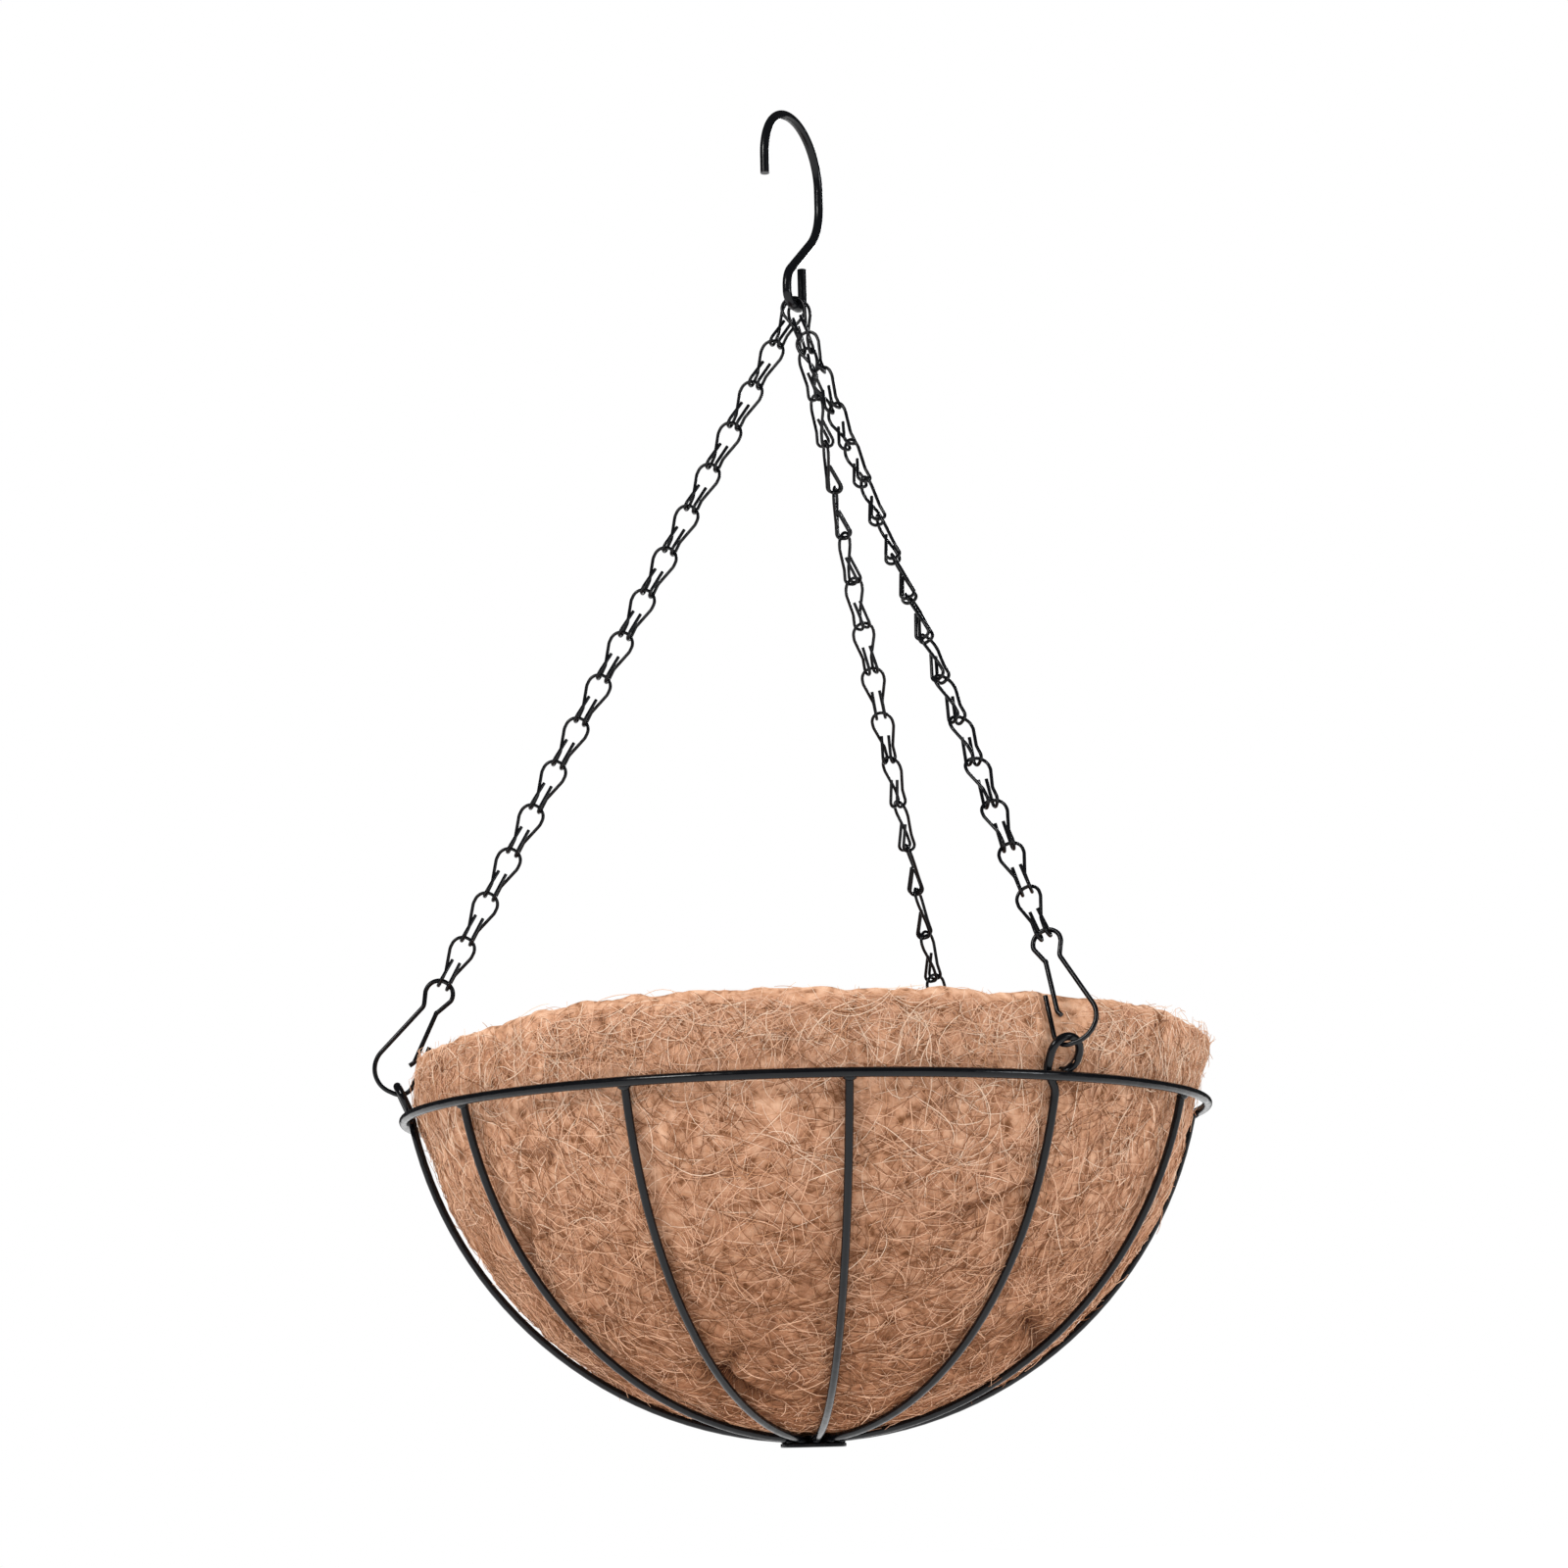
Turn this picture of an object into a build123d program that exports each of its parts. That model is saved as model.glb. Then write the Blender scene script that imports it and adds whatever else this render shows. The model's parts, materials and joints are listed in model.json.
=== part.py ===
from build123d import *

import os
from math import acos, atan2, cos, degrees, radians, sin, sqrt

# A wire hanging basket with a coir liner, hung by three chains from one hook.
# Units are millimetres. +Z is up and the front is -Y.
# The origin is the point inside the top of the hook that bears on whatever it hangs from.
# Azimuths are measured from the front, and grow towards +X.

os.makedirs("parts", exist_ok=True)

# ---- Driving dimensions -------------------------------------------------------------------

RIM_DIAMETER = 300.0          # outside the rim wire: a nominal 12 inch basket
BASKET_DEPTH = 117.4          # rim plane down to the centre of the rib wires at the bottom
RIM_BELOW_HOOK = 392.15       # origin down to the plane of the rim
HANG_OFFSET = 3.6             # the basket's axis, to the left of the hook it hangs askew from

RIM_GAUGE = 3.4
RIB_GAUGE = 2.9
HOOK_GAUGE = 3.5
LINK_GAUGE = 1.25
CLIP_GAUGE = 1.7

HOOK_THROAT = 42.5            # inside diameter of the upper bend
HOOK_DROP = 78.0              # centre of the wire at the top of the hook to the same at its foot
HOOK_FOOT_WIDTH = 13.0        # across the centres of the foot's two arms
HOOK_AZIMUTH = 153.0          # direction in which the shank stands; the tip points the other way

RIB_COUNT = 12
FIRST_RIB_AZIMUTH = 5.8
EYED_RIB_INDICES = (-3, 1, 5)  # every fourth rib carries an eye
RIB_END_RADIUS = 6.5          # where the ribs stop on the base disc
EYE_RADIUS = 6.1              # centre of the wire, in the eye
EYE_LEAN = 25.0               # degrees outward from vertical
EYE_SHIFT = 1.6               # middle of the eye, sideways from its rib

DISC_DIAMETER = 24.0
DISC_THICKNESS = 1.5

LINKS_PER_CHAIN = 16
CLIP_REACH = 45.2             # centres of the wire, top loop to bottom bend
SEAT_SPACING = 3.2            # between neighbouring chains on the foot of the hook

LINER_WALL = 9.0
LINER_RISE = 27.0             # liner's edge above the rim plane
LINER_GAP = 0.55              # between the liner and the ribs under it

PLAY = 0.25                   # free play between a hanging piece and what holds it

# Each chain: name, its eyed rib, its seat on the foot of the hook, the turn of its top link,
# and the turn of its clip about its own line. Its last link lies in line with its clip.
CHAINS = (
    ("left", EYED_RIB_INDICES[0], 0, -200.0, 0.0),
    ("right", EYED_RIB_INDICES[1], -1, 43.0, 30.0),
    ("rear", EYED_RIB_INDICES[2], 1, 93.0, -30.0),
)

# How far each clip leans off the line of its chain, outward and sideways, per unit of length.
CLIP_LEANS = {"left": (0.05, 0.0), "right": (0.05, 0.11), "rear": (0.02, -0.08)}

# ---- Derived dimensions -------------------------------------------------------------------

rim_z = -RIM_BELOW_HOOK
rim_radius = (RIM_DIAMETER - RIM_GAUGE) / 2
hook_bend_radius = (HOOK_THROAT + HOOK_GAUGE) / 2
foot_z = HOOK_GAUGE / 2 - HOOK_DROP
rib_spacing = 360.0 / RIB_COUNT
weld_reach = (RIM_GAUGE + RIB_GAUGE) / 2
disc_top = rim_z - BASKET_DEPTH - RIB_GAUGE / 2
basket_axis = Vector(-HANG_OFFSET, 0, 0)


def polar(radius, azimuth, z):
    """The point at a radius and azimuth about the vertical axis."""
    turn = radians(azimuth)
    return Vector(radius * sin(turn), -radius * cos(turn), z)


def basket_point(radius, azimuth, z):
    """The same about the basket's own axis."""
    return basket_axis + polar(radius, azimuth, z)


def outward(azimuth):
    """The horizontal unit vector that points outward at an azimuth."""
    return polar(1, azimuth, 0)


def sideways(azimuth):
    """The horizontal unit vector towards growing azimuth."""
    return polar(1, azimuth + 90, 0)


def save(builder, label):
    """Name a finished piece and write it as its own STEP file."""
    builder.part.label = label
    export_step(builder.part, f"parts/{label}.step")


def wire_end(path, gauge):
    """A round section of wire, square to the start of its path."""
    with BuildSketch(Plane(origin=path.line @ 0, z_dir=path.line % 0)) as section:
        Circle(gauge / 2)
    return section.sketch


# ---- Hook ---------------------------------------------------------------------------------

# The hook is one wire in a vertical plane: a wide upper bend, a shank that cranks back under
# it, and a narrow foot whose free end stands up beside the shank.
hook_plane = Plane(origin=(0, 0, 0), x_dir=outward(HOOK_AZIMUTH), z_dir=sideways(HOOK_AZIMUTH - 180))
hook_top = HOOK_GAUGE / 2
foot_half = HOOK_FOOT_WIDTH / 2
foot_bend = 5.0
hook_corners = [
    (-hook_bend_radius, -29.0),
    (-hook_bend_radius, hook_top),
    (hook_bend_radius, hook_top),
    (hook_bend_radius, -38.8),
    (-foot_half, -64.6),
    (-foot_half, foot_z),
    (foot_half, foot_z),
    (foot_half, foot_z + 17.0),
]
hook_bends = [hook_bend_radius - 0.05, hook_bend_radius - 0.05, 24.0, 11.0, foot_bend, foot_bend]

with BuildPart() as hook:
    with BuildLine(hook_plane) as hook_path:
        FilletPolyline(*hook_corners, radius=hook_bends)
    sweep(sections=wire_end(hook_path, HOOK_GAUGE), path=hook_path.wires()[0])
save(hook, "hook")

# ---- Basket frame: rim, ribs and base disc --------------------------------------------------

with BuildPart() as rim:
    with Locations(basket_axis + Vector(0, 0, rim_z)):
        Torus(rim_radius, RIM_GAUGE / 2)
save(rim, "rim")

with BuildPart() as base_disc:
    with Locations(basket_axis + Vector(0, 0, disc_top - DISC_THICKNESS / 2)):
        Cylinder(DISC_DIAMETER / 2, DISC_THICKNESS)
    fillet(base_disc.edges(), 0.4)
save(base_disc, "base_disc")


def bowl_radius(radius_at_rim, depth):
    """Radius of the arc about the axis that has a radius at the rim plane and a depth."""
    return (radius_at_rim**2 + depth**2) / (2 * depth)


def arc_point(radius_at_rim, depth, z):
    """Radius from the axis, at a height from the rim plane, of that arc."""
    arc = bowl_radius(radius_at_rim, depth)
    return sqrt(arc**2 - (z + depth - arc) ** 2)


def rib_arc(radius_at_rim, azimuth, z_top):
    """The rib's arc, from its end on the base disc up to a height from the rim plane."""
    arc = bowl_radius(radius_at_rim, BASKET_DEPTH)
    centre_z = arc - BASKET_DEPTH
    start = acos(RIB_END_RADIUS / arc)
    end = atan2(centre_z - z_top, arc_point(radius_at_rim, BASKET_DEPTH, z_top))
    points = []
    for turn in (start, (start + end) / 2, end):
        points.append(basket_point(arc * cos(turn), azimuth, rim_z + centre_z - arc * sin(turn)))
    return ThreePointArc(*points)


plain_top = -1.9              # a plain rib stops low on the inside of the rim, where it is welded
plain_radius_at_rim = rim_radius - 2.21
with BuildPart() as plain_ribs:
    for rib in range(RIB_COUNT):
        if rib % 4 != EYED_RIB_INDICES[1]:
            with BuildLine() as rib_path:
                rib_arc(plain_radius_at_rim, FIRST_RIB_AZIMUTH + rib * rib_spacing, plain_top)
            sweep(sections=wire_end(rib_path, RIB_GAUGE), path=rib_path.wires()[0])
save(plain_ribs, "plain_ribs")

# An eyed rib passes inside the rim, and ends in a loop that leans out over it.
eyed_radius_at_rim = rim_radius - weld_reach - 0.05
eye_base_radius = rim_radius - weld_reach - 0.2
eye_base_z = 1.0
eye_middle = 7.3              # centre of the eye, up its slope from the base
eye_lean_up = cos(radians(EYE_LEAN))
eye_lean_out = sin(radians(EYE_LEAN))
eye_turn = degrees(EYE_SHIFT / rim_radius)


def eye_azimuth(index):
    """Azimuth of the middle of the eye on a rib."""
    return FIRST_RIB_AZIMUTH + index * rib_spacing + eye_turn


def eye_point(index, across, up):
    """A point in the plane of an eye, across and up its slope from the base."""
    azimuth = eye_azimuth(index)
    radius = eye_base_radius + up * eye_lean_out
    base = basket_point(radius, azimuth, rim_z + eye_base_z + up * eye_lean_up)
    return base + sideways(azimuth) * across


arc_end = -9.0
rib_bend = -4.0
with BuildPart() as eyed_ribs:
    for index in EYED_RIB_INDICES:
        azimuth = FIRST_RIB_AZIMUTH + index * rib_spacing
        with BuildLine() as eyed_path:
            lower = rib_arc(eyed_radius_at_rim, azimuth, arc_end)
            rise = (lower % 1) * ((rib_bend - arc_end) / (lower % 1).Z)
            FilletPolyline(
                lower @ 1,
                lower @ 1 + rise,
                eye_point(index, -EYE_RADIUS, 1.0),
                eye_point(index, -EYE_RADIUS, eye_middle + EYE_RADIUS),
                eye_point(index, EYE_RADIUS, eye_middle + EYE_RADIUS),
                eye_point(index, EYE_RADIUS, eye_middle - EYE_RADIUS),
                eye_point(index, 0, eye_middle - EYE_RADIUS),
                radius=[6.0, 5.0, EYE_RADIUS - 0.03, EYE_RADIUS - 0.03, EYE_RADIUS - 0.2],
            )
        sweep(sections=wire_end(eyed_path, RIB_GAUGE), path=eyed_path.wires()[0])
save(eyed_ribs, "eyed_ribs")

# ---- Lines of the three chains --------------------------------------------------------------

# A chain hangs straight from its seat on the foot of the hook to the loop at the top of its
# clip. The clip stands in the eye, and leans a little off the line of the chain.
seat_bend_shift = max(0.0, SEAT_SPACING - (foot_half - foot_bend))
seat_rise = foot_bend - sqrt(foot_bend**2 - seat_bend_shift**2)
bar_over_hook = (HOOK_GAUGE + LINK_GAUGE) / 2 + PLAY
clip_under_eye = (RIB_GAUGE + CLIP_GAUGE) / 2 + PLAY + 0.3
loop_half = 5.05              # radius of the clip's top loop
clip_wire_extra = (CLIP_GAUGE - LINK_GAUGE) / 2 + 0.25


def seat_point(seat):
    """Centre of the hook's wire where a chain sits on its foot."""
    shift = outward(HOOK_AZIMUTH) * (seat * SEAT_SPACING)
    return shift + Vector(0, 0, foot_z + abs(seat) * seat_rise)


def line_plane(origin, along, azimuth, turn):
    """A frame on a line: +Z up the line, +X outward, then turned about the line."""
    up = along * -1
    across = (outward(azimuth) - up * outward(azimuth).dot(up)).normalized()
    across = across.rotate(Axis((0, 0, 0), up), turn)
    return Plane(origin=origin, x_dir=across, z_dir=up)


def clip_line(chain):
    """A clip's line: centre of its top loop's wire, and centre of its bottom bend's wire."""
    name, index, seat = chain[:3]
    lean_out, lean_side = CLIP_LEANS[name]
    eye_top = eye_point(index, 0, eye_middle + EYE_RADIUS)
    up = (seat_point(seat) - eye_top).normalized()
    up += outward(eye_azimuth(index)) * lean_out + sideways(eye_azimuth(index)) * lean_side
    up = up.normalized()
    end = eye_top - up * clip_under_eye
    return end + up * CLIP_REACH, end


def clip_frame(chain):
    """The frame of a clip, at the top of its loop and in the plane of its wire."""
    loop_top, end = clip_line(chain)
    return line_plane(loop_top, (end - loop_top).normalized(), eye_azimuth(chain[1]), chain[4])


def chain_line(chain):
    """A chain's line: centre of its top bar, and of the place on its clip that it holds."""
    frame = clip_frame(chain)
    seat = seat_point(chain[2])
    loop_centre = frame.origin - frame.z_dir * loop_half
    up = (seat - loop_centre).normalized()
    up = (up - frame.y_dir * up.dot(frame.y_dir)).normalized()
    held = loop_centre + up * loop_half
    along = (held - seat).normalized()
    return seat - along * bar_over_hook, held + along * clip_wire_extra


# ---- Chain links ------------------------------------------------------------------------------

# Each link is one wire: a pear-shaped loop whose two legs pass down through the next link's
# loop, hook round its top bar and come back up inside the lower half of their own loop.
longest_line = max((end - top).length for top, end in (chain_line(chain) for chain in CHAINS))
longest_pitch = longest_line / LINKS_PER_CHAIN
link_half = 4.35              # centre of the wire, at the widest place of the loop
leg_half = 1.75
hook_back = 6.4               # from the legs' plane back to the outside corner of the hooks
bar_back = 2.7                # from the legs' plane back to the next link's bar
bar_drop = sqrt(longest_pitch**2 - bar_back**2)
bar_sag = link_half - sqrt(link_half**2 - leg_half**2)
hook_low = -(bar_drop + bar_sag + LINK_GAUGE + 0.22)
link_tilt = degrees(atan2(bar_back, bar_drop))
half_link = [
    (1.5, -0.9, -9.6),
    (leg_half, -hook_back, hook_low),
    (leg_half, 0, hook_low),
    (leg_half + 0.05, 0, -14.6),
    (link_half, 0, -6.0),
    (link_half, 0, 0),
]
half_bends = [2.0, 2.0, 4.0, 4.0, link_half - 0.05]
mirrored_half = [(-x, y, z) for x, y, z in reversed(half_link)]

with BuildPart() as link:
    with BuildLine() as link_path:
        FilletPolyline(*half_link, *mirrored_half, radius=half_bends + half_bends[::-1])
    sweep(sections=wire_end(link_path, LINK_GAUGE), path=link_path.wires()[0])

for chain in CHAINS:
    name, index, seat, top_turn, clip_turn = chain
    top, end = chain_line(chain)
    along = (end - top).normalized()
    pitch = (end - top).length / LINKS_PER_CHAIN
    bottom_turn = clip_turn - 180
    for number in range(LINKS_PER_CHAIN):
        turn = top_turn + (bottom_turn - top_turn) * number / (LINKS_PER_CHAIN - 1)
        frame = line_plane(top + along * (pitch * number), along, eye_azimuth(index), turn)
        with BuildPart(frame) as placed_link:
            with Locations(Rotation(link_tilt, 0, 0)):
                add(link.part)
        save(placed_link, f"{name}_chain_link_{number + 1:02d}")

# ---- Clips --------------------------------------------------------------------------------------

# Each clip is a bent wire snap: a small top loop, a neck, and a wide lower bend that hooks
# through the eye. Its springy leg, the gate, closes against the upturned end.
clip_inner = -5.2             # the upturned end's side, from the line of the chain
neck_gap = 0.2                # left under the neck for the gate to flex
gate_side = -1.95
neck_z = -12.1
clip_corners = [
    (clip_inner + 0.3, -24.5),
    (clip_inner, -CLIP_REACH),
    (14.6, -CLIP_REACH),
    (3.3, -11.3),
    (loop_half, -6.0),
    (loop_half, 0),
    (-loop_half, 0),
    (-loop_half, -5.6),
    (gate_side - 0.05, neck_z + 0.12),
]
clip_bends = [5.0, 9.2, 3.0, 2.0, loop_half - 0.05, loop_half - 0.05, 2.5]
gate_corners = [
    (gate_side, neck_z - neck_gap),
    (gate_side - 0.1, -31.8),
    (gate_side + 1.0, -33.6),
]

for chain in CHAINS:
    name = chain[0]
    frame = clip_frame(chain)
    clip_plane = Plane(origin=frame.origin, x_dir=frame.x_dir, z_dir=frame.y_dir * -1)
    with BuildPart() as clip:
        with BuildLine(clip_plane) as clip_path:
            FilletPolyline(*clip_corners, radius=clip_bends)
        sweep(sections=wire_end(clip_path, CLIP_GAUGE), path=clip_path.wires()[0])
    save(clip, f"{name}_clip")
    with BuildPart() as gate:
        with BuildLine(clip_plane) as gate_path:
            FilletPolyline(*gate_corners, radius=2.0)
        sweep(sections=wire_end(gate_path, CLIP_GAUGE), path=gate_path.wires()[0])
    save(gate, f"{name}_clip_gate")

# ---- Liner ----------------------------------------------------------------------------------------

# The liner is a thick coir bowl that rests in the ribs and stands above the rim. It is pushed
# in beside each clip.
liner_depth = BASKET_DEPTH - RIB_GAUGE / 2 - LINER_GAP
liner_radius_at_rim = eye_base_radius - RIB_GAUGE / 2 - 0.25
liner_arc = bowl_radius(liner_radius_at_rim, liner_depth)
liner_centre_z = rim_z + liner_arc - liner_depth
liner_top = rim_z + LINER_RISE
dent_low = 7.0                # radius of the hollow beside a clip, at the eye
dent_high = 6.2               # the same at the liner's edge
dent_wall = 5.5
dent_height = 70.0


def bowl(arc):
    """A solid bowl under the liner's edge, bounded by an arc about the liner's centre."""
    edge_radius = sqrt(arc**2 - (liner_top - liner_centre_z) ** 2)
    with BuildPart() as solid:
        with BuildSketch(Plane(origin=basket_axis, x_dir=(1, 0, 0), z_dir=(0, -1, 0))):
            with BuildLine():
                Line((0, liner_centre_z - arc), (0, liner_top))
                Line((0, liner_top), (edge_radius, liner_top))
                RadiusArc((edge_radius, liner_top), (0, liner_centre_z - arc), arc)
            make_face()
        revolve(axis=Axis(tuple(basket_axis), (0, 0, 1)))
    return solid.part


outer_bowl = bowl(liner_arc)
inner_bowl = bowl(liner_arc - LINER_WALL)

with BuildPart() as dent_walls:
    for chain in CHAINS:
        top, end = clip_line(chain)
        frame = line_plane(end, (end - top).normalized(), eye_azimuth(chain[1]), 0)
        with Locations(Location(frame)):
            Cylinder(dent_low + dent_wall, dent_height)
    add(outer_bowl, mode=Mode.INTERSECT)

with BuildPart() as liner:
    add(outer_bowl)
    add(inner_bowl, mode=Mode.SUBTRACT)
    add(dent_walls.part)
    for chain in CHAINS:
        top, end = clip_line(chain)
        frame = line_plane(end, (end - top).normalized(), eye_azimuth(chain[1]), 0)
        with Locations(Location(frame)):
            Cone(dent_low, dent_high, dent_height, mode=Mode.SUBTRACT)
save(liner, "liner")
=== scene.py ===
import json
from math import cos, pi, radians, sin

import bmesh
import bpy
import numpy as np
from mathutils import Matrix, Vector, noise


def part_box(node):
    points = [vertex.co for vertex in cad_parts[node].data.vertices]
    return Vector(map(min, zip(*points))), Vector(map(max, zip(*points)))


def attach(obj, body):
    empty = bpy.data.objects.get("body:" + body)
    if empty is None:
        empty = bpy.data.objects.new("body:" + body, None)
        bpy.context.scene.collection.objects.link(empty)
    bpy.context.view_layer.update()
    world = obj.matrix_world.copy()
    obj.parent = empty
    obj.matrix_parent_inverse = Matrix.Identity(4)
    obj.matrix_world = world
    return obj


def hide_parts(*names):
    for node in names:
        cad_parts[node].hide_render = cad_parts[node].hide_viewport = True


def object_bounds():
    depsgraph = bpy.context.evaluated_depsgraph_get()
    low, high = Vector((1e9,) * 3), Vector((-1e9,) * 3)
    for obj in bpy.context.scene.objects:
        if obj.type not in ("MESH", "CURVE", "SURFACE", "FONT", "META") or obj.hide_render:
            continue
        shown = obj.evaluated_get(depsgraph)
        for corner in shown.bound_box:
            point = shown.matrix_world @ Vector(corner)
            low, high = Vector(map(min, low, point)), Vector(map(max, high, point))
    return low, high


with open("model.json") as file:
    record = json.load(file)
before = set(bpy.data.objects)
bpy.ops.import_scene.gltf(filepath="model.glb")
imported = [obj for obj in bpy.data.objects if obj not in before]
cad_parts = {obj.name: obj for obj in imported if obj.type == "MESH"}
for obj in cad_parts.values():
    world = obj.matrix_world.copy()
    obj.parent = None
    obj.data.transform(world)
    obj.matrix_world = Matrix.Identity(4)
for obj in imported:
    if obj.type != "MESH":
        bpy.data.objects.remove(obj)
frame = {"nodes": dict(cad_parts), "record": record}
cad_low, cad_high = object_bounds()
scene = bpy.context.scene
nodes = frame["nodes"]
joints = {joint["name"]: joint for joint in frame["record"]["behaviour"]["joints"]}
CHAIN_NAMES = ("left", "right", "rear")

rim_low, rim_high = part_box("rim")
AXIS_X = (rim_low[0] + rim_high[0]) / 2
RIM_Z = (rim_low[2] + rim_high[2]) / 2
RIM_GAUGE = rim_high[2] - rim_low[2]
RIM_RADIUS = (rim_high[0] - rim_low[0] - RIM_GAUGE) / 2

# ---- Camera: in front and a little below the rim, looking up at the whole of it ---------------

camera_data = bpy.data.cameras.new("camera")
camera = bpy.data.objects.new("camera", camera_data)
scene.collection.objects.link(camera)
scene.camera = camera
CAMERA_PLACE = Vector((AXIS_X, -1.2412, RIM_Z - 0.1213))
YAW, PITCH, ROLL = radians(-0.236), radians(11.28), radians(-1.348)
forward = Vector((sin(YAW) * cos(PITCH), cos(YAW) * cos(PITCH), sin(PITCH)))
level_right = Vector((cos(YAW), -sin(YAW), 0))
level_up = level_right.cross(forward)
right = level_right * cos(ROLL) + level_up * sin(ROLL)
up = level_up * cos(ROLL) - level_right * sin(ROLL)
turn = Matrix((right, up, -forward)).transposed().to_4x4()
camera.matrix_world = Matrix.Translation(CAMERA_PLACE) @ turn
camera_data.sensor_width = 36.0
camera_data.lens = 76.72
camera_data.clip_start = 0.01
camera_data.clip_end = 50.0

# ---- Studio: white surroundings that a gloss surface sees dark, and two soft lights -----------

DIFFUSE_SKY = 0.98
GLOSS_SKY = 0.035
scene.view_settings.view_transform = "Standard"
world = bpy.data.worlds.new("studio")
scene.world = world
world.use_nodes = True
tree = world.node_tree
background = tree.nodes["Background"]
background.inputs["Color"].default_value = (1, 1, 1, 1)
path = tree.nodes.new("ShaderNodeLightPath")
sky = tree.nodes.new("ShaderNodeMix")
sky.inputs[2].default_value = DIFFUSE_SKY
sky.inputs[3].default_value = GLOSS_SKY
tree.links.new(path.outputs["Is Glossy Ray"], sky.inputs[0])
seen = tree.nodes.new("ShaderNodeMix")
seen.inputs[3].default_value = 1.0
tree.links.new(path.outputs["Is Camera Ray"], seen.inputs[0])
tree.links.new(sky.outputs[0], seen.inputs[2])
tree.links.new(seen.outputs[0], background.inputs["Strength"])


def soft_light(name, place, size, power, tint):
    """A square lamp that faces the middle of the basket."""
    data = bpy.data.lights.new(name, "AREA")
    data.shape = "SQUARE"
    data.size = size
    data.energy = power
    data.color = tint
    lamp = bpy.data.objects.new(name, data)
    scene.collection.objects.link(lamp)
    aim = Vector((AXIS_X, 0, RIM_Z)) - Vector(place)
    lamp.rotation_euler = aim.to_track_quat("-Z", "Y").to_euler()
    lamp.location = place


soft_light("key_light", (-1.3, -1.5, RIM_Z + 1.5), 0.55, 22.0, (1.0, 0.99, 0.97))
soft_light("fill_light", (1.7, -0.9, RIM_Z + 0.7), 0.4, 6.0, (0.93, 0.96, 1.0))
soft_light("back_light", (0.4, 1.7, RIM_Z + 0.9), 0.5, 8.0, (0.95, 0.97, 1.0))


def new_material(name):
    """A material, with its node tree and its shader."""
    material = bpy.data.materials.new(name)
    material.use_nodes = True
    return material, material.node_tree, material.node_tree.nodes["Principled BSDF"]


FLOOR_DROP = 0.95             # from the bottom of the basket down to the floor


def floor_plane():
    """A plain pale floor, as white as what is behind it."""
    mesh = bpy.data.meshes.new("floor")
    half = 30.0
    z = cad_low[2] - FLOOR_DROP
    corners = [(-half, -half, z), (half, -half, z), (half, half, z), (-half, half, z)]
    mesh.from_pydata(corners, [], [(0, 1, 2, 3)])
    floor = bpy.data.objects.new("floor", mesh)
    scene.collection.objects.link(floor)
    material, tree, shader = new_material("floor_paint")
    shader.inputs["Base Color"].default_value = (0.9, 0.9, 0.9, 1)
    shader.inputs["Roughness"].default_value = 0.9
    shader.inputs["Emission Color"].default_value = (1, 1, 1, 1)
    shader.inputs["Emission Strength"].default_value = 0.35
    mesh.materials.append(material)


floor_plane()

# ---- Materials --------------------------------------------------------------------------------


def noise_node(tree, scale, detail):
    """Noise in the object's own coordinates."""
    place = tree.nodes.new("ShaderNodeTexCoord")
    node = tree.nodes.new("ShaderNodeTexNoise")
    node.inputs["Scale"].default_value = scale
    node.inputs["Detail"].default_value = detail
    tree.links.new(place.outputs["Object"], node.inputs["Vector"])
    return node


def ranged(tree, source, low, high, start=0.0, end=1.0):
    """A value carried from one range to another."""
    node = tree.nodes.new("ShaderNodeMapRange")
    node.inputs["From Min"].default_value = start
    node.inputs["From Max"].default_value = end
    node.inputs["To Min"].default_value = low
    node.inputs["To Max"].default_value = high
    tree.links.new(source, node.inputs["Value"])
    return node.outputs["Result"]


def multiplied(tree, source, colour, factor):
    """A colour multiplied by another, by a factor from 0 to 1."""
    node = tree.nodes.new("ShaderNodeMix")
    node.data_type = "RGBA"
    node.blend_type = "MULTIPLY"
    node.inputs[7].default_value = colour
    tree.links.new(factor, node.inputs[0])
    tree.links.new(source, node.inputs[6])
    return node.outputs[2]


def bumps(tree, shader, layers):
    """Bump from several noises: scale, detail, distance and strength of each."""
    previous = None
    for scale, detail, distance, strength in layers:
        bump = tree.nodes.new("ShaderNodeBump")
        bump.inputs["Distance"].default_value = distance
        bump.inputs["Strength"].default_value = strength
        tree.links.new(noise_node(tree, scale, detail).outputs[0], bump.inputs["Height"])
        if previous:
            tree.links.new(previous.outputs["Normal"], bump.inputs["Normal"])
        previous = bump
    tree.links.new(previous.outputs["Normal"], shader.inputs["Normal"])


def coating(name, colour, rough_low, rough_high, layers):
    """A black coating on wire: its gloss and its waviness vary along it."""
    material, tree, shader = new_material(name)
    shader.inputs["Base Color"].default_value = (*colour, 1)
    shader.inputs["Specular IOR Level"].default_value = 0.26
    rough = ranged(tree, noise_node(tree, 220.0, 5.0).outputs[0], rough_low, rough_high, 0.3, 0.7)
    tree.links.new(rough, shader.inputs["Roughness"])
    bumps(tree, shader, layers)
    return material


frame_black = coating("frame_black", (0.0035, 0.0038, 0.005), 0.12, 0.26,
                      [(90.0, 2.0, 0.0012, 0.35), (700.0, 3.0, 0.0002, 0.25)])
chain_black = coating("chain_black", (0.004, 0.0043, 0.0055), 0.14, 0.28,
                      [(160.0, 2.0, 0.0006, 0.3), (1500.0, 3.0, 0.0001, 0.25)])


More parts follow.
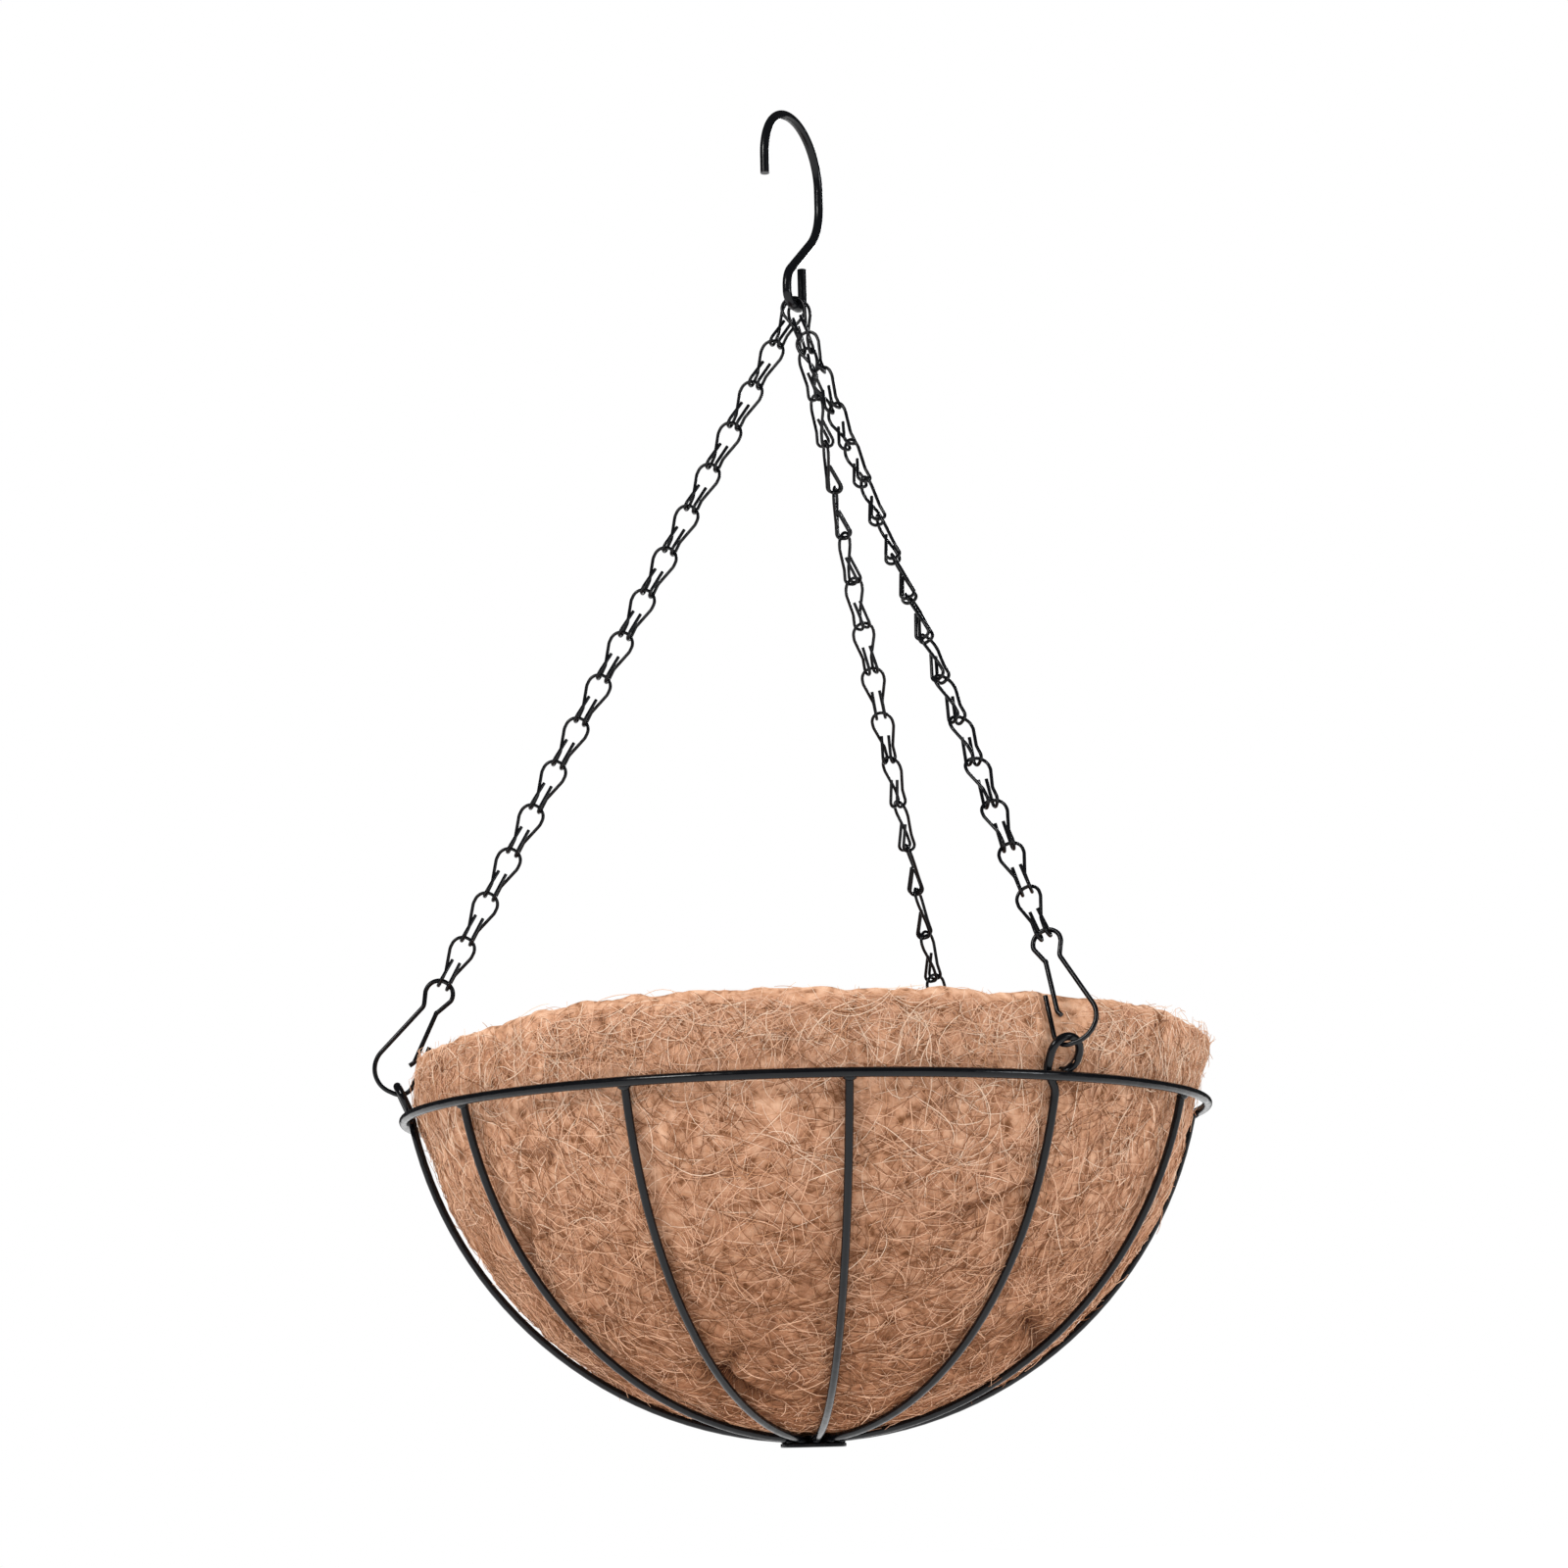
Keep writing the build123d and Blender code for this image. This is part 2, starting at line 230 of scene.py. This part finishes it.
def coir_ground():
    """The felt under the loose fibres: pale tan above, browner and darker below, and darker in its
    pits and creases, which is painted shade.
    """
    material, tree, shader = new_material("coir_ground")
    patches = tree.nodes.new("ShaderNodeValToRGB")
    ramp = patches.color_ramp
    ramp.elements[0].position = 0.31
    ramp.elements[0].color = (0.24, 0.10, 0.042, 1)
    ramp.elements[1].position = 0.69
    ramp.elements[1].color = (0.80, 0.50, 0.335, 1)
    middle = ramp.elements.new(0.47)
    middle.color = (0.60, 0.32, 0.19, 1)
    tree.links.new(noise_node(tree, 260.0, 9.0).outputs[0], patches.inputs[0])
    place = tree.nodes.new("ShaderNodeTexCoord")
    height = tree.nodes.new("ShaderNodeSeparateXYZ")
    tree.links.new(place.outputs["Object"], height.inputs[0])
    share = ranged(tree, height.outputs[2], 1.0, 0.0, RIM_Z - 0.115, RIM_Z + 0.014)
    tinted = multiplied(tree, patches.outputs[0], (0.44, 0.31, 0.215, 1), share)
    # Painted shade: the felt's colour is darkened by the depth of its pits and creases.
    painted_shade = tree.nodes.new("ShaderNodeAttribute")
    painted_shade.attribute_name = "painted_shade"
    shaded = multiplied(tree, tinted, (0.22, 0.13, 0.09, 1), painted_shade.outputs["Fac"])
    tree.links.new(shaded, shader.inputs["Base Color"])
    rough = ranged(tree, noise_node(tree, 500.0, 4.0).outputs[0], 0.82, 1.0)
    tree.links.new(rough, shader.inputs["Roughness"])
    shader.inputs["Specular IOR Level"].default_value = 0.2
    bumps(tree, shader, [(420.0, 8.0, 0.0012, 0.8), (1800.0, 6.0, 0.0003, 0.7)])
    return material


def fibre_tone(name, colour):
    """One tone of coir fibre, with a soft sheen that varies along it."""
    material, tree, shader = new_material(name)
    shader.inputs["Base Color"].default_value = (*colour, 1)
    shader.inputs["Specular IOR Level"].default_value = 0.25
    rough = ranged(tree, noise_node(tree, 900.0, 3.0).outputs[0], 0.55, 0.85)
    tree.links.new(rough, shader.inputs["Roughness"])
    bumps(tree, shader, [(4000.0, 2.0, 0.00005, 0.4)])
    return material


ground = coir_ground()
TONES = [
    fibre_tone("fibre_dark", (0.26, 0.105, 0.042)),
    fibre_tone("fibre_brown", (0.55, 0.28, 0.15)),
    fibre_tone("fibre_tan", (0.78, 0.475, 0.31)),
    fibre_tone("fibre_pale", (0.90, 0.68, 0.51)),
]

for name, node in nodes.items():
    for material_slot in node.material_slots:
        if name in ("rim", "plain_ribs", "eyed_ribs", "base_disc"):
            material_slot.material = frame_black
        else:
            material_slot.material = chain_black

# ---- Making pieces ----------------------------------------------------------------------------


def add_piece(name, mesh, body, materials):
    """Put a mesh in the scene as a piece that rides on a body."""
    for material in materials:
        mesh.materials.append(material)
    mesh.polygons.foreach_set("use_smooth", [True] * len(mesh.polygons))
    piece = bpy.data.objects.new(name, mesh)
    scene.collection.objects.link(piece)
    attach(piece, body)
    return piece


def mesh_of_quads(name, points, quads, tones):
    """A mesh from arrays of points, four-cornered faces and each face's material."""
    mesh = bpy.data.meshes.new(name)
    mesh.vertices.add(len(points))
    mesh.vertices.foreach_set("co", points.astype(np.float32).ravel())
    mesh.loops.add(quads.size)
    mesh.loops.foreach_set("vertex_index", quads.astype(np.int32).ravel())
    mesh.polygons.add(len(quads))
    mesh.polygons.foreach_set("loop_start", np.arange(0, quads.size, 4, dtype=np.int32))
    mesh.polygons.foreach_set("material_index", tones.astype(np.int32))
    mesh.update(calc_edges=True)
    return mesh


def lumps(name, body, material, places, unevenness=0.12):
    """Rounded, slightly uneven lumps in one piece: centre, three axes and three half sizes each."""
    rows, columns = 9, 16
    points, faces = [], []
    for centre, axes, halves in places:
        base = len(points)
        for row in range(rows + 1):
            for column in range(columns):
                tilt, spin = pi * row / rows, 2 * pi * column / columns
                unit = Vector((sin(tilt) * cos(spin), sin(tilt) * sin(spin), cos(tilt)))
                point = Vector(centre)
                swell = 1 + unevenness * noise.noise(unit * 1.6 + Vector(centre) * 300)
                for axis, half, part in zip(axes, halves, unit):
                    point += Vector(axis) * (half * part * swell)
                points.append(point)
        for row in range(rows):
            for column in range(columns):
                after = (column + 1) % columns
                a, b = base + row * columns, base + (row + 1) * columns
                faces.append((a + column, b + column, b + after, a + after))
    mesh = bpy.data.meshes.new(name)
    mesh.from_pydata(points, [], faces)
    merge_poles(mesh)
    return add_piece(name, mesh, body, [material])


def merge_poles(mesh):
    """Join the points that meet at each lump's two ends."""
    work = bmesh.new()
    work.from_mesh(mesh)
    bmesh.ops.remove_doubles(work, verts=work.verts, dist=1e-7)
    work.to_mesh(mesh)
    work.free()
    mesh.update()


# ---- Welds, rib ends and clip necks -----------------------------------------------------------

FIRST_RIB_AZIMUTH = 5.8
RIB_COUNT = 12
EYED_RIBS = (1, 5, 9)
UP = Vector((0, 0, 1))


def polar(radius, azimuth, height):
    """A point about the basket's axis; azimuth is from the front, towards +X."""
    return Vector((AXIS_X + radius * sin(azimuth), -radius * cos(azimuth), RIM_Z + height))


def rib_frame(rib):
    """A rib's azimuth, and its axes: outward, sideways and up."""
    azimuth = radians(FIRST_RIB_AZIMUTH + 360.0 / RIB_COUNT * rib)
    out = Vector((sin(azimuth), -cos(azimuth), 0))
    return azimuth, (out, Vector((cos(azimuth), sin(azimuth), 0)), UP)


welds = []
for rib in range(RIB_COUNT):
    azimuth, axes = rib_frame(rib)
    if rib in EYED_RIBS:
        welds.append((polar(RIM_RADIUS - 0.0019, azimuth, 0.0002), axes, (0.0015, 0.0026, 0.0019)))
    else:
        welds.append((polar(RIM_RADIUS - 0.0017, azimuth, -0.0010), axes, (0.0019, 0.0025, 0.0018)))
        rib_end = polar(RIM_RADIUS - 0.0027, azimuth, -0.0018)
        welds.append((rib_end, axes, (0.00152, 0.0015, 0.0015)))
lumps("rim_welds", "basket", frame_black, welds)

disc_low, disc_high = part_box("base_disc")
spots = []
for rib in range(RIB_COUNT):
    azimuth, axes = rib_frame(rib)
    place = Vector((AXIS_X, 0, disc_high[2] + 0.0006)) + axes[0] * 0.0092
    spots.append((place, axes, (0.0026, 0.0019, 0.0011)))
lumps("disc_welds", "basket", frame_black, spots)

clip_lines = []
for name in CHAIN_NAMES:
    roll = joints[name + "_clip_roll"]
    clip_lines.append((np.array(roll["pos_m"]), np.array(roll["axis"])))
    neck = Vector(joints[name + "_gate_flex"]["pos_m"])
    along = Vector(roll["axis"])
    across = along.orthogonal().normalized()
    axes = (across, along.cross(across), along)
    place = (neck, axes, (0.00093, 0.00093, 0.0013))
    lumps(name + "_clip_neck", name + "_clip", chain_black, [place], 0.05)

# ---- The coir bowl ----------------------------------------------------------------------------

CENTRE_RISE = 0.0312          # from the rim plane up to the middle of the bowl's sphere
CENTRE = np.array([AXIS_X, 0.0, RIM_Z + CENTRE_RISE])
BOWL = 0.1462                 # the sphere's radius
WALL = 0.0088
EDGE_RISE = 0.0262            # from the rim plane up to the felt's edge
CLIP_ROOM = 0.0074            # radius kept free about each clip's line
DENT_WALL = 0.0052            # thickness of the felt beside a clip
PIT_COUNT = 120
# How strongly a pit's or crease's depth darkens the felt's colour, as painted shade.
PIT_SHADE, CREASE_SHADE = 260, 330
COLUMNS, OUTER_ROWS, LIP_ROWS, INNER_ROWS = 440, 112, 7, 44
random = np.random.default_rng(41)


def smooth(x, low, high):
    """A smooth step from 0 at low to 1 at high."""
    t = np.clip((x - low) / (high - low), 0.0, 1.0)
    return t * t * (3 - 2 * t)


def lumpy(points, scale, seed, octaves=3):
    """Fractal noise, about -1 to 1, at each point."""
    shift = Vector((seed * 7.3, seed * 3.1, seed * 5.7))
    flat = points.reshape(-1, 3)
    values = [noise.fractal(Vector(p) * scale + shift, 1.0, 2.0, octaves) for p in flat.tolist()]
    return np.array(values).reshape(points.shape[:-1])


def direction(azimuth, tilt):
    """Unit vectors: tilt is from straight down, azimuth from the front."""
    flat = np.sin(tilt)
    return np.stack([flat * np.sin(azimuth), -flat * np.cos(azimuth), -np.cos(tilt)], axis=-1)


spin = np.arange(COLUMNS) * (2 * pi / COLUMNS)
circle = direction(spin, np.full(COLUMNS, pi / 2))
turned = (spin + pi) % (2 * pi) - pi
edge_height = EDGE_RISE + 0.0016 * lumpy(circle, 2.2, 3) + 0.0012 * lumpy(circle, 11.0, 4)
edge_height += 0.0003 * lumpy(circle, 40.0, 6)
for middle, spread, drop in ((-68.0, 26.0, 0.0058), (78.0, 30.0, 0.0030)):
    edge_height -= drop * np.exp(-(((turned - radians(middle)) / radians(spread)) ** 2))
edge_tilt = np.arccos((CENTRE_RISE - edge_height) / BOWL)


def clip_limits(unit, radius):
    """How far out the felt may stand, where a clip hangs beside it."""
    limit = np.full(unit.shape[:-1], 1.0)
    for end, axis in clip_lines:
        surface = CENTRE + unit * BOWL
        past_end = (surface - end) @ axis
        beside = np.linalg.norm(surface - end - past_end[..., None] * axis, axis=-1)
        start = CENTRE - end
        lean = unit @ axis
        nearest = (lean * (start @ axis) - unit @ start) / np.maximum(1 - lean**2, 0.02)
        crossing = np.cross(unit, axis)
        gap = np.abs(crossing @ start) / np.maximum(np.linalg.norm(crossing, axis=-1), 0.1)
        depth = radius * (1.06 - 0.5 * (gap / radius) ** 2) * smooth(past_end, -0.018, -0.006)
        here = (past_end > -0.018) & (beside < 0.022) & (past_end < 0.06)
        limit = np.where(here, np.minimum(limit, nearest - depth), limit)
    return limit


# Creases low on the bowl: azimuth and tilt of each end in degrees, half width, depth.
FOLDS = (
    ((-31.0, 34.0), (-11.0, 22.0), 0.0032, 0.0046),
    ((-16.0, 37.0), (-32.0, 27.0), 0.0024, 0.0030),
    ((50.0, 42.0), (68.0, 37.0), 0.0030, 0.0042),
    ((60.0, 48.0), (49.0, 35.0), 0.0024, 0.0030),
    ((20.0, 58.0), (38.0, 64.0), 0.0024, 0.0020),
    ((-62.0, 50.0), (-48.0, 62.0), 0.0024, 0.0022),
    ((120.0, 48.0), (140.0, 40.0), 0.0028, 0.0036),
    ((200.0, 44.0), (222.0, 52.0), 0.0026, 0.0032),
    ((265.0, 36.0), (240.0, 30.0), 0.0026, 0.0034),
)


def outer_radius(unit):
    """The felt's outer radius from its centre, in each direction, and the painted shade for its pits
    and creases there.
    """
    painted_shade = np.zeros(unit.shape[:-1])
    radius = np.full(unit.shape[:-1], BOWL)
    azimuth = np.arctan2(unit[..., 0], -unit[..., 1])
    level = CENTRE_RISE + unit[..., 2] * BOWL
    flare = -0.0004 + 0.0030 * np.sin(azimuth) + 0.0012 * lumpy(unit, 3.0, 9)
    radius += smooth(level, -0.004, 0.026) * flare
    rib_step = 2 * pi / RIB_COUNT
    off_rib = (azimuth - radians(FIRST_RIB_AZIMUTH) + rib_step / 2) % rib_step - rib_step / 2
    beside = off_rib * BOWL * np.maximum(np.sin(np.arccos(-unit[..., 2])), 0.05)
    below = 1 - smooth(level, -0.006, 0.006)
    side = np.where(np.sin(azimuth) < 0, 0.0024, 0.0013) * np.abs(np.sin(azimuth)) ** 3
    radius -= side * below * smooth(level, -0.100, -0.060)
    radius += below * (0.0007 - 0.0013 * np.exp(-((beside / 0.006) ** 2)))
    radius += (0.0013 * lumpy(unit, 5.0, 1) + 0.0009 * lumpy(unit, 17.0, 2)
               + 0.0004 * lumpy(unit, 60.0, 5, 2))
    # Pits and creases lower the felt, and their depth also paints shade into its colour.
    for _ in range(PIT_COUNT):
        cosine = 1 - random.random()
        pit_azimuth = random.random() * 2 * pi
        pit_unit = direction(pit_azimuth, np.arccos(cosine))
        size = 0.0015 + 0.003 * random.random()
        depth = 0.0006 + 0.0018 * random.random() ** 2
        away = np.linalg.norm(unit - pit_unit, axis=-1) * BOWL
        radius -= depth * np.exp(-((away / size) ** 2))
        painted_shade += depth * PIT_SHADE * np.exp(-((away / size) ** 2))
    for start, end, width, depth in FOLDS:
        a = direction(*np.radians(start))
        b = direction(*np.radians(end))
        share = np.clip(((unit - a) @ (b - a)) / ((b - a) @ (b - a)), 0, 1)
        wander = 0.006 * lumpy(unit, 14.0, 21, 2)
        away = np.linalg.norm(unit - a - share[..., None] * (b - a), axis=-1) + wander
        crease = np.exp(-((away * BOWL / width) ** 2)) * (0.35 + 0.65 * np.sin(pi * share))
        radius -= depth * crease
        painted_shade += depth * CREASE_SHADE * crease
    limit = clip_limits(unit, CLIP_ROOM)
    blend = 0.0009
    low, high = np.minimum(radius, limit), np.maximum(radius, limit)
    radius = low - blend * np.log1p(np.exp(-np.minimum(high - low, 0.02) / blend))
    return radius, np.clip(painted_shade, 0, 1)


share = (np.arange(1, OUTER_ROWS + 1) / OUTER_ROWS)[:, None]
outer_unit = direction(np.broadcast_to(spin, (OUTER_ROWS, COLUMNS)), share * edge_tilt)
outer, outer_painted_shade = outer_radius(outer_unit)
outer_points = CENTRE + outer_unit * outer[..., None]

share = (1 - np.arange(INNER_ROWS) / INNER_ROWS)[:, None]
inner_unit = direction(np.broadcast_to(spin, (INNER_ROWS, COLUMNS)), share * edge_tilt)
inner = np.minimum(BOWL - WALL, clip_limits(inner_unit, CLIP_ROOM) - DENT_WALL)
inner = inner + 0.0009 * lumpy(inner_unit, 9.0, 31) + 0.0005 * lumpy(inner_unit, 32.0, 32)
inner_points = CENTRE + inner_unit * inner[..., None]

lip = (np.arange(1, LIP_ROWS + 1) / (LIP_ROWS + 1))[:, None, None]
lip_points = outer_points[-1][None] * (1 - lip) + inner_points[0][None] * lip
lip_points[..., 2] += 0.0026 * np.sin(pi * lip[..., 0]) + 0.0007 * lumpy(lip_points, 160.0, 33)

rings = np.concatenate([outer_points, lip_points, inner_points]).reshape(-1, 3)
ring_count = OUTER_ROWS + LIP_ROWS + INNER_ROWS
row = np.arange(ring_count - 1)[:, None] * COLUMNS
column = np.arange(COLUMNS)[None]
after = (column + 1) % COLUMNS
quads = np.stack([row + column, row + after, row + COLUMNS + after, row + COLUMNS + column], axis=-1)
faces = quads.reshape(-1, 4).tolist()
poles = [CENTRE + [0, 0, -BOWL], CENTRE + [0, 0, -(BOWL - WALL)]]
under, within = len(rings), len(rings) + 1
last = (ring_count - 1) * COLUMNS
for k in range(COLUMNS):
    faces.append((under, (k + 1) % COLUMNS, k))
    faces.append((within, last + k, last + (k + 1) % COLUMNS))
liner_mesh = bpy.data.meshes.new("coir_bowl")
liner_mesh.from_pydata(np.concatenate([rings, poles]).tolist(), [], faces)
liner_mesh.update()
# Painted shade at each point of the outer face, read by the felt's material to darken its colour.
painted_shade = np.zeros(len(rings) + 2, dtype=np.float32)
painted_shade[:outer_painted_shade.size] = outer_painted_shade.ravel()
liner_mesh.attributes.new("painted_shade", "FLOAT", "POINT").data.foreach_set("value", painted_shade)
coir_bowl = add_piece("coir_bowl", liner_mesh, "basket", [ground])
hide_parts("liner")

# ---- Loose fibres -----------------------------------------------------------------------------

STEPS = 8


def radius_at(unit, table, reverse):
    """The bowl's radius in any direction, read from its rings."""
    azimuth = np.arctan2(unit[..., 0], -unit[..., 1]) % (2 * pi)
    tilt = np.arccos(np.clip(-unit[..., 2], -1, 1))
    col = azimuth / (2 * pi) * COLUMNS
    left = np.floor(col).astype(int) % COLUMNS
    top = edge_tilt[left]
    part = np.clip(tilt / top, 0, 1)
    count = len(table)
    rank = (1 - part) * count if reverse else part * count - 1
    lower = np.clip(np.floor(rank).astype(int), 0, count - 1)
    upper = np.clip(lower + 1, 0, count - 1)
    mix = np.clip(rank - lower, 0, 1)
    return table[lower, left] * (1 - mix) + table[upper, left] * mix, (tilt - top) * BOWL


def fibres(name, count, side, near_edge=False):
    """Curved strands that lie on the felt, a few with an end standing off it."""
    tilt_low = 0.92 if near_edge else 0.0
    cosine = np.cos(0.5 * pi * tilt_low) * (1 - random.random(count)) + 0.01
    d = direction(random.random(count) * 2 * pi, np.arccos(np.clip(cosine, -1, 1)))
    t = np.cross(d, random.normal(size=(count, 3)))
    t /= np.linalg.norm(t, axis=1)[:, None]
    length = 0.007 + 0.022 * random.random(count) ** 1.3
    curl = random.normal(size=count) * 60.0
    drift = random.normal(size=count) * 4000.0
    level = random.random(count) * 0.0007 + 0.00002
    arch = random.random(count) * 0.0006
    stray = (random.random(count) < (0.25 if near_edge else 0.05)) * random.random(count) * 0.0032
    girth = 0.00009 + 0.00009 * random.random(count)
    step = length / (STEPS - 1)
    table, reverse, sign = (inner, True, -1) if side == "inner" else (outer, False, 1)
    points, beyond, middle = [], [], d
    for k in range(STEPS):
        radius, over = radius_at(d, table, reverse)
        middle = d if k == STEPS // 2 else middle
        share = k / (STEPS - 1)
        height = level + arch * sin(pi * share) + stray * share**2
        points.append(CENTRE + d * (radius + sign * height)[:, None])
        beyond.append(over)
        angle = (curl + drift * (share - 0.5) * length) * step
        t = t * np.cos(angle)[:, None] + np.cross(d, t) * np.sin(angle)[:, None]
        d = d + t * (step / BOWL)[:, None]
        d /= np.linalg.norm(d, axis=1)[:, None]
        t -= d * np.sum(t * d, axis=1)[:, None]
        t /= np.linalg.norm(t, axis=1)[:, None]
    points = np.stack(points, axis=1)
    over = np.max(np.stack(beyond, axis=1), axis=1)
    allowed = 0.0050 * random.random(count) ** 2 + 0.0002
    keep = over < allowed
    for end, axis in clip_lines:
        away = points - end
        along = away @ axis
        gap = np.linalg.norm(away - along[..., None] * axis, axis=-1)
        keep &= ~np.any((gap < 0.0070) & (along > -0.012), axis=1)
    # Strands that lie in pits and creases take darker tones: painted shade.
    painted_shade_at_middle = radius_at(middle, outer_painted_shade, False)[0] if side == "outer" else np.zeros(count)
    points, girth, painted_shade_at_middle = points[keep], girth[keep], painted_shade_at_middle[keep]
    pick = random.random(len(points))
    heights = (points[:, 0, 2] - (RIM_Z - 0.115)) / 0.142
    tone = np.digitize(pick + 0.50 * (heights - 0.86) - 0.9 * painted_shade_at_middle, [0.10, 0.34, 0.76])
    along = np.gradient(points, axis=1)
    along /= np.linalg.norm(along, axis=2)[..., None]
    out = points - CENTRE
    out /= np.linalg.norm(out, axis=2)[..., None]
    across = np.cross(along, out)
    across /= np.maximum(np.linalg.norm(across, axis=2), 1e-9)[..., None]
    over_side = np.cross(across, along)
    thin = girth[:, None] * (0.35 + 0.65 * np.sin(pi * np.linspace(0.06, 0.94, STEPS)) ** 0.5)[None]
    ring = []
    for corner in range(3):
        angle = 2 * pi * corner / 3
        offset = across * cos(angle) + over_side * sin(angle)
        ring.append(points + offset * thin[..., None])
    verts = np.stack(ring, axis=2).reshape(-1, 3)
    strand = np.arange(len(points))[:, None, None] * (STEPS * 3)
    step_index = np.arange(STEPS - 1)[None, :, None] * 3
    corner = np.arange(3)[None, None, :]
    following = (corner + 1) % 3
    base = strand + step_index
    following_ring = base + 3
    quads = np.stack([base + corner, base + following,
                      following_ring + following, following_ring + corner], axis=-1)
    tones = np.repeat(tone, (STEPS - 1) * 3)
    mesh = mesh_of_quads(name, verts, quads.reshape(-1, 4), tones)
    return add_piece(name, mesh, "basket", TONES)


for part in range(4):
    fibres(f"fibres_outside_{part + 1}", 4600, "outer")
fibres("fibres_inside", 4400, "inner")
fibres("fibres_edge_outside", 4500, "outer", near_edge=True)
fibres("fibres_edge_inside", 2200, "inner", near_edge=True)
